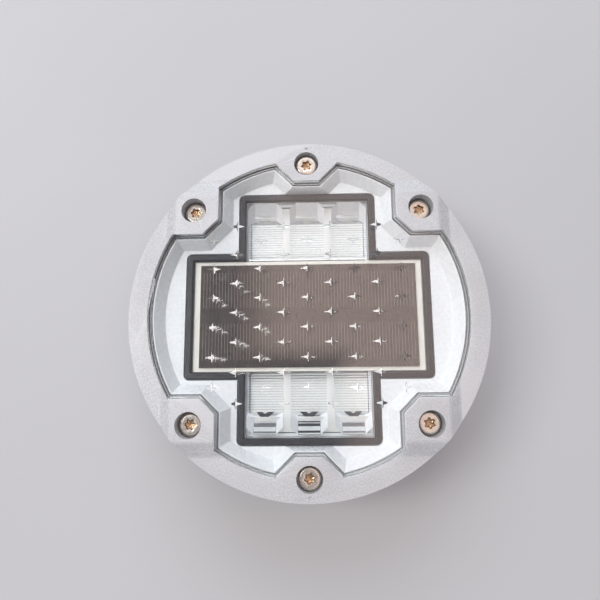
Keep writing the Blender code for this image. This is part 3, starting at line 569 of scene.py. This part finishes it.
def shading_group():
    """A modifier's node group that welds a CAD node's facets and drops its stored normals."""
    group = bpy.data.node_groups.new("weld_and_smooth", "GeometryNodeTree")
    group.interface.new_socket("Geometry", in_out="INPUT", socket_type="NodeSocketGeometry")
    group.interface.new_socket("Geometry", in_out="OUTPUT", socket_type="NodeSocketGeometry")
    inlet = group.nodes.new("NodeGroupInput")
    outlet = group.nodes.new("NodeGroupOutput")
    merge = group.nodes.new("GeometryNodeMergeByDistance")
    merge.inputs["Distance"].default_value = WELD_DISTANCE
    drop = group.nodes.new("GeometryNodeRemoveAttribute")
    drop.inputs["Name"].default_value = "custom_normal"
    even = group.nodes.new("GeometryNodeSetShadeSmooth")
    for first, second in ((inlet, merge), (merge, drop), (drop, even), (even, outlet)):
        group.links.new(first.outputs["Geometry"], second.inputs["Geometry"])
    return group


WELD = shading_group()


def dress(node, finish, bevel=0.2 * MM, segments=2):
    """Keeps a CAD node: new material, clean smooth shading and small rounded edges."""
    obj = NODES[node]
    obj.data.materials.clear()
    obj.data.materials.append(finish.material)
    obj.modifiers.new("weld", "NODES").node_group = WELD
    flat = obj.modifiers.new("flat", "DECIMATE")
    flat.decimate_type = "DISSOLVE"
    flat.angle_limit = math.radians(FLAT_ANGLE)
    if bevel:
        edge = obj.modifiers.new("edge", "BEVEL")
        edge.width = bevel
        edge.segments = segments
        edge.limit_method = "ANGLE"
        edge.angle_limit = math.radians(EDGE_ANGLE)
        edge.use_clamp_overlap = True
        even(obj)
    return obj


# ---- pieces ----
def ease(share):
    """A straight rise from 0 to 1 that is rounded at both ends."""
    share = min(share, 1.0)
    if share > 0.5:
        return 1.0 - ease(1.0 - share)
    if share < RAMP_ROUNDING:
        return share * share / (2.0 * RAMP_ROUNDING * (1.0 - RAMP_ROUNDING))
    return (share - RAMP_ROUNDING / 2.0) / (1.0 - RAMP_ROUNDING)


def valley(side, axis, top, reach):
    """Cutter that lowers the ring between two pads and leaves a soft ramp up to each of them."""
    edge, ramp = PAD_EDGE[axis], RAMP[axis]
    high = top + 3.0 * PAD_HEIGHT
    profile = [(edge - ramp - CUT_MARGIN, high), (reach, high), (reach, top)]
    profile += [(edge - ramp * step / RAMP_STEPS, top + PAD_HEIGHT * ease(step / RAMP_STEPS))
                for step in range(RAMP_STEPS)]
    profile.append((edge - ramp, top + PAD_HEIGHT + 0.01 * MM))
    if axis == 0:
        ends = [[(side * across, end, z) for across, z in profile] for end in (-reach, reach)]
    else:
        ends = [[(end, side * across, z) for across, z in profile] for end in (-reach, reach)]
    return finished(loft(ends), "valley")


def drilled(levels, centre, steps):
    """A round stepped cutter through levels of (radius, z)."""
    return finished(loft([[(x + centre[0], y + centre[1], z) for x, y in circle(size, steps)]
                          for size, z in levels]), "drill")


def make_ring(finish):
    """Cast top ring: four raised pads with soft ramps, six counterbores and two index marks."""
    low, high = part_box("top_ring")
    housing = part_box("base_housing")[1]
    top, bottom, rim = high.z - PAD_HEIGHT, housing.z + CLEARANCE, housing.x + CLEARANCE
    levels = ((rim, bottom), (rim, low.z), (high.x, low.z), (high.x, high.z))
    ring = finished(loft([at_height(circle(size, RING_STEPS), z) for size, z in levels]),
                    "cast_ring")
    recess = -FLANGE_REACH - CLEARANCE
    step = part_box("lens_cover")[0].z + FLANGE_HEIGHT + CLEARANCE
    opening = ((recess, bottom - CUT_MARGIN), (recess, step), (0.0, step), (0.0, high.z + CUT_MARGIN))
    cutters = [finished(loft([at_height(opening_outline(inset), z) for inset, z in opening]),
                        "opening")]
    cutters += [valley(side, axis, top, high.x + 5.0 * MM) for axis in (0, 1) for side in (-1, 1)]
    for node in ring_screws():
        head_low, head_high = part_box(node)
        centre = (head_low + head_high) / 2.0
        shoulder = head_high.z - HEAD_HEIGHT - CLEARANCE
        hole = SHANK_RADIUS + CLEARANCE
        bore = (head_high.x - head_low.x) / 2.0 + COUNTERBORE_GAP
        cutters.append(drilled(((hole, bottom - CUT_MARGIN), (hole, shoulder), (bore, shoulder),
                                (bore, high.z + CUT_MARGIN)), centre, HOLE_STEPS))
    united(ring, cutters, sharp_angle=12.0, operation="DIFFERENCE")
    edge = ring.modifiers.new("edge", "BEVEL")
    edge.width = RING_BEVEL
    edge.segments = 3
    edge.limit_method = "ANGLE"
    edge.angle_limit = math.radians(12.5)
    mark = [(size, top + height) for size, height in MARK_LEVELS]
    marks = [drilled(mark, (0.0, side * MARK_Y), MARK_STEPS) for side in (-1, 1)]
    united(ring, marks, sharp_angle=35.0, operation="DIFFERENCE")
    even(ring)
    settle(ring, finish, "ring", "top_ring")


def ring_screws():
    """The ring screws' CAD nodes."""
    return [node for node in sorted(NODES) if node.startswith("ring_screw_")]


def make_cover(finish, pip_finish):
    """Clear cover: rolled plateau edge, skirt, clamped flange and star-shaped pips."""
    low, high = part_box("lens_cover")
    top = high.z - PIP_HEIGHT
    flange_top = low.z + FLANGE_HEIGHT
    ceiling = top - COVER_THICKNESS
    inner = COVER_GAP + COVER_SKIRT
    turns = [math.radians(90.0 * step / ROUND_STEPS) for step in range(ROUND_STEPS + 1)]
    levels = [(COVER_GAP + COVER_ROUND[0] * (1.0 - math.sin(a)),
               top - COVER_ROUND[1] * (1.0 - math.cos(a))) for a in turns]
    levels += [(COVER_GAP, flange_top), (-FLANGE_REACH, flange_top), (-FLANGE_REACH, low.z),
               (inner, low.z)]
    levels += [(inner + CEILING_ROUND * (1.0 - math.cos(a)),
                ceiling - CEILING_ROUND * (1.0 - math.sin(a))) for a in turns[::2]]
    cover = finished(loft([at_height(opening_outline(inset), z) for inset, z in levels]),
                     "clear_cover")
    united(cover, [finished(pips(top), "pips")], sharp_angle=25.0)
    even(cover)
    settle(cover, (finish, pip_finish), "cover", "lens_cover")
    for face in cover.data.polygons:
        face.material_index = int(face.center.z > top + 0.5 * PIP_TIP)
    cover.visible_shadow = False


def pips(top):
    """The staggered anti-slip pips."""
    bm = bmesh.new()
    for row in range(-PIP_ROWS, PIP_ROWS + 1):
        for column in range(-PIP_COLUMNS, PIP_COLUMNS + 1):
            if (row + column) % 2 == 1:
                add_pip(bm, column * PIP_PITCH[0], row * PIP_PITCH[1], top)
    return bm


def add_pip(bm, x, y, top):
    """A four-pointed star with upright sides under a two-sided roof ridged along Y."""
    waist_x, waist_y = PIP_WAIST
    tips = ((PIP_HALF[0], 0), (waist_x, waist_y), (0, PIP_HALF[1]), (-waist_x, waist_y),
            (-PIP_HALF[0], 0), (-waist_x, -waist_y), (0, -PIP_HALF[1]), (waist_x, -waist_y))
    slope = (PIP_HEIGHT - PIP_TIP) / PIP_HALF[0]
    foot = [bm.verts.new((x + dx, y + dy, top - PIP_SINK)) for dx, dy in tips]
    roof = [bm.verts.new((x + dx, y + dy, top + PIP_HEIGHT - slope * abs(dx))) for dx, dy in tips]
    bm.faces.new(foot[::-1])
    bm.faces.new([roof[index] for index in (6, 7, 0, 1, 2)])
    bm.faces.new([roof[index] for index in (2, 3, 4, 5, 6)])
    for index in range(len(tips)):
        after = (index + 1) % len(tips)
        bm.faces.new((foot[index], foot[after], roof[after], roof[index]))


def make_fingers(finish):
    """Thin silver contact fingers along Y on both rows of cells."""
    bm = bmesh.new()
    for row in ("solar_cells_north", "solar_cells_south"):
        low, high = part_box(row)
        centre = (low + high) / 2.0
        length = high.y - low.y - 2.0 * FINGER_MARGIN
        count = int((high.x - low.x - 2.0 * FINGER_PITCH) / FINGER_PITCH)
        for index in range(count + 1):
            x = centre.x + (index - count / 2.0) * FINGER_PITCH
            place = Matrix.Translation((x, centre.y, high.z + FINGER_HEIGHT / 2.0))
            size = Matrix.Diagonal((FINGER_WIDTH, length, FINGER_HEIGHT, 1.0))
            bmesh.ops.create_cube(bm, size=1.0, matrix=place @ size)
    fingers = finished(bm, "cell_fingers")
    settle(fingers, finish, "silicon")


def make_seam(finish):
    """Resin-filled joint between the two rows of cells, level with them."""
    low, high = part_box("solar_cells_south")
    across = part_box("solar_cells_north")[0].y - high.y
    middle = Vector(((low.x + high.x) / 2.0, high.y + across / 2.0, high.z + FINGER_HEIGHT / 4.0))
    bm = bmesh.new()
    size = Matrix.Diagonal((high.x - low.x - 2.0 * SEAM_INSET, across + 2.0 * SEAM_OVERLAP,
                            FINGER_HEIGHT / 2.0, 1.0))
    bmesh.ops.create_cube(bm, size=1.0, matrix=Matrix.Translation(middle) @ size)
    seam = finished(bm, "cell_seam")
    settle(seam, finish, "silicon")


def make_screw(node, finish, turn):
    """Round-headed screw with a six-lobed recess, in the place of its CAD node."""
    low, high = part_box(node)
    centre = (low + high) / 2.0
    radius = (high.x - low.x) / 2.0
    tip, head_edge = low.z - high.z, 0.1 * MM
    shape = [(0.4 * SHANK_RADIUS, tip), (0.6 * SHANK_RADIUS, tip),
             (SHANK_RADIUS, tip + 0.5 * SHANK_RADIUS), (SHANK_RADIUS, -HEAD_HEIGHT),
             (radius - head_edge, -HEAD_HEIGHT), (radius, head_edge - HEAD_HEIGHT),
             (radius, -HEAD_CROWN)]
    shape += [(radius - HEAD_CROWN * (1.0 - math.cos(a)), HEAD_CROWN * (math.sin(a) - 1.0))
              for a in (math.radians(15.0 * step) for step in range(1, 6))]
    shape += [(radius - HEAD_CROWN, 0.0), (RECESS_MOUTH * radius, 0.0)]
    sections = [at_height(circle(size, SCREW_STEPS), z) for size, z in shape]
    sections += [at_height(lobed(share * radius, SCREW_STEPS), z) for share, z in RECESS_LEVELS]
    screw = finished(loft(sections), "screw_" + node.replace("ring_screw_", ""), sharp_angle=35.0)
    screw.location = (centre.x, centre.y, high.z)
    screw.rotation_euler.z = turn
    settle(screw, finish, "screw", node)


def lens_profile(length, height):
    """Side view of a lens as (y, z): rounded ribs, raised cap and a 45 degree undercut nose."""
    foot, cap_start = LENS_CAP
    pitch = foot / LENS_RIBS
    groove = LENS_RISE - RIB_DEPTH
    profile = [(0.0, 0.0)]
    for rib in range(LENS_RIBS):
        for step, rise in RIB_SHAPE:
            profile.append(((rib + step) * pitch, groove + rise * RIB_DEPTH))
    return profile + [(foot, groove), (cap_start, height), (length, height),
                      (length, height - LENS_LIP), (length - height + LENS_LIP, 0.0)]


def make_lens(node, clear, painted_corner_white, turn):
    """Clear lens in the place of its CAD node; its nose is a bay window whose corner faces are painted
    white as a stand-in for their reflections.
    """
    low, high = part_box(node)
    length, height = high.y - low.y, high.z - low.z
    half = (high.x - low.x) / 2.0
    profile = lens_profile(length, height)
    lens = finished(loft([[(x, y, z) for y, z in profile] for x in (-half, half)]), node)
    lip = height - LENS_LIP
    corner = half - LENS_NOSE_HALF
    inner, outer = LENS_NOSE_HALF - CUT_MARGIN, half + CUT_MARGIN
    levels = ((-lip - CUT_MARGIN, -CUT_MARGIN), (0.0, lip), (0.0, height + CUT_MARGIN))
    for side in (-1, 1):
        wedge = [(side * LENS_NOSE_HALF, length), (side * half, length - corner),
                 (side * outer, length - corner - CUT_MARGIN), (side * outer, 2.0 * length),
                 (side * inner, 2.0 * length), (side * inner, length + CUT_MARGIN)]
        cutter = finished(loft([[(x, y + shift, z) for x, y in wedge] for shift, z in levels]),
                          "nose_cutter")
        united(lens, [cutter], sharp_angle=25.0, operation="DIFFERENCE")
    lens.name = "lens_" + node.replace("led_lens_", "")
    lens.location = ((low.x + high.x) / 2.0, low.y if turn == 0.0 else high.y, low.z)
    lens.rotation_euler.z = turn
    lens.visible_shadow = False
    even(lens)
    settle(lens, (clear, painted_corner_white), "lens", node)
    # The nose's corner faces take the second finish: white, a painted reflection.
    for face in lens.data.polygons:
        face.material_index = int(abs(face.normal.x) > 0.3 and abs(face.normal.y) > 0.3)


def placed(bm, name, node, turn, finish, slot):
    """Sets a small piece, made in a lens's own frame, at that lens."""
    low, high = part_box(node)
    piece = finished(bm, name + node.replace("led_lens", ""))
    piece.location = ((low.x + high.x) / 2.0, low.y if turn == 0.0 else high.y, low.z)
    piece.rotation_euler.z = turn
    settle(piece, finish, slot)


def make_painted_reflection_card(node, finish, bar_finish, bars, turn):
    """Painted reflection: a white card just inside the 45 degree face of a lens's nose, with dark bars
    across it, standing in for what the nose reflects.
    """
    low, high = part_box(node)
    length, lip = high.y - low.y, high.z - low.z - LENS_LIP
    half = LENS_NOSE_HALF - REFLECTION_CARD_INSET
    # The white card and its dark bars are painted reflections, not parts of the lamp.
    strips = [("film", ((REFLECTION_CARD_INSET, lip - REFLECTION_CARD_INSET),), REFLECTION_CARD_DEPTH, finish, "reflector")]
    if bars:
        strips.append(("film_bars", bars, BARS_DEPTH, bar_finish, "holder"))
    for name, heights, depth, strip_finish, slot in strips:
        bm = bmesh.new()
        for bottom, top in heights:
            corners = ((-half, bottom), (half, bottom), (half, top), (-half, top))
            loft([[(x, length - lip + z - lift, z + lift) for x, z in corners]
                  for lift in (depth, REFLECTION_CARD_BACK * depth)], bm)
        placed(bm, name, node, turn, strip_finish, slot)


def make_painted_dark_wedge(node, finish, turn):
    """Painted dark reflection: a dark wedge on the slope up to a lens's cap."""
    low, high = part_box(node)
    foot, cap_start = LENS_CAP
    lower, upper = LENS_RISE - RIB_DEPTH, high.z - low.z
    outline = ((-DARK_WEDGE_HALF[0], 0.0), (-DARK_WEDGE_NOTCH[0], 0.0), (0.0, DARK_WEDGE_NOTCH[1]),
               (DARK_WEDGE_NOTCH[0], 0.0), (DARK_WEDGE_HALF[0], 0.0), (DARK_WEDGE_HALF[1], 1.0), (-DARK_WEDGE_HALF[1], 1.0))
    sections = [[(x, foot + share * (cap_start - foot) - lift,
                  lower + share * (upper - lower) + lift) for x, share in outline]
                for lift in DARK_WEDGE_LIFT]
    # The wedge is a painted dark reflection, not a part.
    placed(loft(sections), "mask", node, turn, finish, "holder")


def make_lamp(node, body_finish, glow_finish):
    """Surface-mount lamp: a white frame round a domed yellow phosphor."""
    low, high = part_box(node)
    centre = (low + high) / 2.0
    half = (high.x - low.x) / 2.0
    height = high.z - low.z
    rim, well = (share * half for share in LAMP_WINDOW)
    body = ((half, 0.0), (half, height - LAMP_CHAMFER), (half - LAMP_CHAMFER, height))
    sections = [at_height(squared(size, LAMP_STEPS), z) for size, z in body]
    sections += [at_height(circle(rim, LAMP_STEPS), height),
                 at_height(circle(well, LAMP_STEPS), height - LAMP_SINK)]
    sections += [at_height(circle(well * math.cos(a), LAMP_STEPS),
                           height - LAMP_SINK + LAMP_DOME * math.sin(a))
                 for a in (math.radians(20.0 * step) for step in range(1, 5))]
    lamp = finished(loft(sections), "lamp_" + node.replace("led_", ""), sharp_angle=40.0)
    lamp.location = (centre.x, centre.y, low.z)
    settle(lamp, (body_finish, glow_finish), "lamp", node)
    for face in lamp.data.polygons:
        inside = Vector(face.center.xy).length < well
        face.material_index = int(inside and face.center.z > 0.5 * height)


# ---- stage ----
def make_floor():
    """Plain pale floor, just under the marker."""
    bpy.ops.mesh.primitive_plane_add(size=FLOOR_SIZE, location=(0.0, 0.0, FLOOR_LEVEL))
    floor = bpy.context.object
    floor.name = "floor"
    pale = Finish("pale_floor", (0.72, 0.72, 0.73), 0.85)
    pale.tint(pale.remap(pale.noise(0.4, 3.0), 0.3, 0.7), (0.76, 0.76, 0.765))
    floor.data.materials.append(pale.material)


def area_light(name, place, target, size, power, colour):
    """A rectangular softbox aimed at target."""
    data = bpy.data.lights.new(name, "AREA")
    data.shape = "RECTANGLE"
    data.size, data.size_y = size
    data.energy = power
    data.color = colour
    light = bpy.data.objects.new(name, data)
    light.location = place
    light.rotation_euler = (Vector(target) - Vector(place)).to_track_quat("-Z", "Y").to_euler()
    bpy.context.scene.collection.objects.link(light)


def make_light():
    """A key softbox to the left, a window to the north and a pale surround."""
    middle = (0.0, 0.0, cad_high.z)
    area_light("key", (-0.78, 0.15, 1.215), middle, size=(0.40, 0.59), power=5.3,
               colour=(1.0, 0.99, 0.98))
    area_light("window", (-0.12, 0.90, 0.82), middle, size=(0.9, 0.7), power=5.0,
               colour=(0.86, 0.93, 1.0))
    bpy.context.scene.world = make_surround()


def make_surround():
    """An even pale surround with a warm, soft-edged ceiling glow overhead, a little to the right."""
    world = bpy.data.worlds.new("studio")
    world.use_nodes = True
    tree = world.node_tree

    def node(kind, *values, **settings):
        made = tree.nodes.new(kind)
        for key, value in settings.items():
            setattr(made, key, value)
        for socket, value in zip(made.inputs, values):
            if isinstance(value, bpy.types.NodeSocket):
                tree.links.new(value, socket)
            else:
                socket.default_value = value
        return made

    def rise(value, edge):
        soft = node("ShaderNodeMapRange", value, *edge, interpolation_type="SMOOTHSTEP")
        return soft.outputs[0]

    def both(first, second, operation="MULTIPLY"):
        return node("ShaderNodeMath", first, second, operation=operation).outputs[0]

    ways = node("ShaderNodeSeparateXYZ", node("ShaderNodeTexCoord").outputs["Generated"]).outputs
    east = both(ways["X"], ways["Z"], "DIVIDE")
    north = both(ways["Y"], ways["Z"], "DIVIDE")
    glow = both(rise(east, GLOW_WEST), rise(ways["Z"], GLOW_HEIGHT))
    glow = both(glow, both(rise(north, GLOW_SOUTH), rise(east, GLOW_CORNER), "MAXIMUM"))
    colour = node("ShaderNodeMix", data_type="RGBA")
    tree.links.new(glow, colour.inputs["Factor"])
    colour.inputs["A"].default_value = SURROUND
    colour.inputs["B"].default_value = GLOW
    tree.links.new(colour.outputs["Result"], tree.nodes["Background"].inputs["Color"])
    return world


def make_camera():
    """Looks down on the marker from just in front of it, leaning about nine degrees."""
    data = bpy.data.cameras.new("camera")
    data.sensor_width = 36.0
    data.lens = 28.8
    data.clip_start = 0.01
    camera = bpy.data.objects.new("camera", data)
    place = Vector(CAMERA_PLACE)
    roll = math.radians(CAMERA_ROLL)
    forward = (Vector(CAMERA_TARGET) - place).normalized()
    right = forward.cross(Vector((0.0, 1.0, 0.0))).normalized()
    up = right.cross(forward)
    turned_right = right * math.cos(roll) + up * math.sin(roll)
    turned_up = turned_right.cross(forward)
    axes = Matrix((turned_right, turned_up, -forward)).transposed().to_4x4()
    camera.matrix_world = Matrix.Translation(place) @ axes
    bpy.context.scene.collection.objects.link(camera)
    bpy.context.scene.camera = camera


def build():
    """Makes the stage, then every piece with its material."""
    make_camera()
    make_floor()
    make_light()
    ring, housing = cast_ring(), cast_housing()
    white = white_plastic("white_reflector", (0.775, 0.79, 0.805), 0.22, 0.34)
    carrier = white_plastic("white_carrier", (0.76, 0.78, 0.80), 0.4, 0.55)
    lamp_board = white_plastic("white_board", (0.80, 0.80, 0.78), 0.3, 0.4)
    black = silicone("black_silicone", (0.018, 0.018, 0.022), (0.06, 0.06, 0.065))
    grey = silicone("grey_silicone", (0.20, 0.20, 0.21), (0.3, 0.3, 0.3))
    steel, bare_nickel, moulding = screw_steel(), nickel(), moulded_black("moulded_black")
    # The lens's second finish paints the corner faces of each nose white, a painted reflection.
    cells, lens, painted_corner_white = silicon(), clear_lens(), frosted_lens()
    # mask: the black of the painted dark reflections on the south lenses.
    package, glow, mask = lamp_package(), phosphor(), moulded_black("mask_black")
    green = circuit_board()

    make_ring(ring)
    dress("base_housing", housing, 0.4 * MM)
    dress("cover_gasket", grey)
    dress("reflector_tray", white, 0.25 * MM, 3)
    dress("chamber_seal", black, 0.15 * MM, 3)
    dress("component_carrier", carrier)
    dress("panel_board", panel_board(), 0.15 * MM)
    dress("control_board", green, 0.1 * MM)
    dress("battery_holder", moulding)
    dress("controller_chip", moulding, 0.1 * MM)
    dress("charge_inductor", moulded_black("ferrite"))
    dress("storage_capacitor", bare_nickel, 0.1 * MM)
    dress("battery_socket", lamp_board, 0.2 * MM)
    dress("cell_link", bare_nickel, 0.1 * MM)
    for index in range(1, 5):
        dress(f"board_screw_{index}", bare_nickel, 0.05 * MM)
    for name, colour in (("battery_lead_red", (0.45, 0.02, 0.02)),
                         ("battery_lead_black", (0.02, 0.02, 0.022)),
                         ("solar_lead_red", (0.45, 0.02, 0.02)),
                         ("solar_lead_black", (0.02, 0.02, 0.022)),
                         ("led_lead_north", (0.75, 0.75, 0.73)),
                         ("led_lead_south", (0.75, 0.75, 0.73))):
        dress(name, sleeve("sleeve_" + name, colour), 0.0)
    shrink = sleeve("cell_sleeve", (0.04, 0.17, 0.36), 5.0 * MM)
    for end, turn in (("north", 0.0), ("south", math.pi)):
        dress("solar_cells_" + end, cells, 0.08 * MM)
        dress("battery_cell_" + end, shrink, 0.3 * MM)
        dress("led_board_" + end, lamp_board, 0.1 * MM)
        for index in (1, 2, 3):
            make_lens(f"led_lens_{end}_{index}", lens, painted_corner_white, turn)
            # Each nose's white card, in the reflector's white, and its dark bars are painted
            # reflections; the bars are black in the middle lens and grey silicone in the outer ones.
            bars, dark = (MIDDLE_BARS, mask) if index == 2 else (OUTER_BARS, grey)
            make_painted_reflection_card(f"led_lens_{end}_{index}", white, dark, bars if end == "south" else (), turn)
            if end == "south":
                # The dark wedge on each south lens is a painted dark reflection.
                make_painted_dark_wedge(f"led_lens_{end}_{index}", mask, turn)
            make_lamp(f"led_{end}_{index}", package, glow)
    for index, node in enumerate(ring_screws()):
        make_screw(node, steel, 0.2 + 0.37 * index)
    make_fingers(finger_silver())
    make_seam(cells)
    make_cover(clear_cover(), clear_pips())


build()
bpy.context.scene.view_settings.view_transform = "Standard"
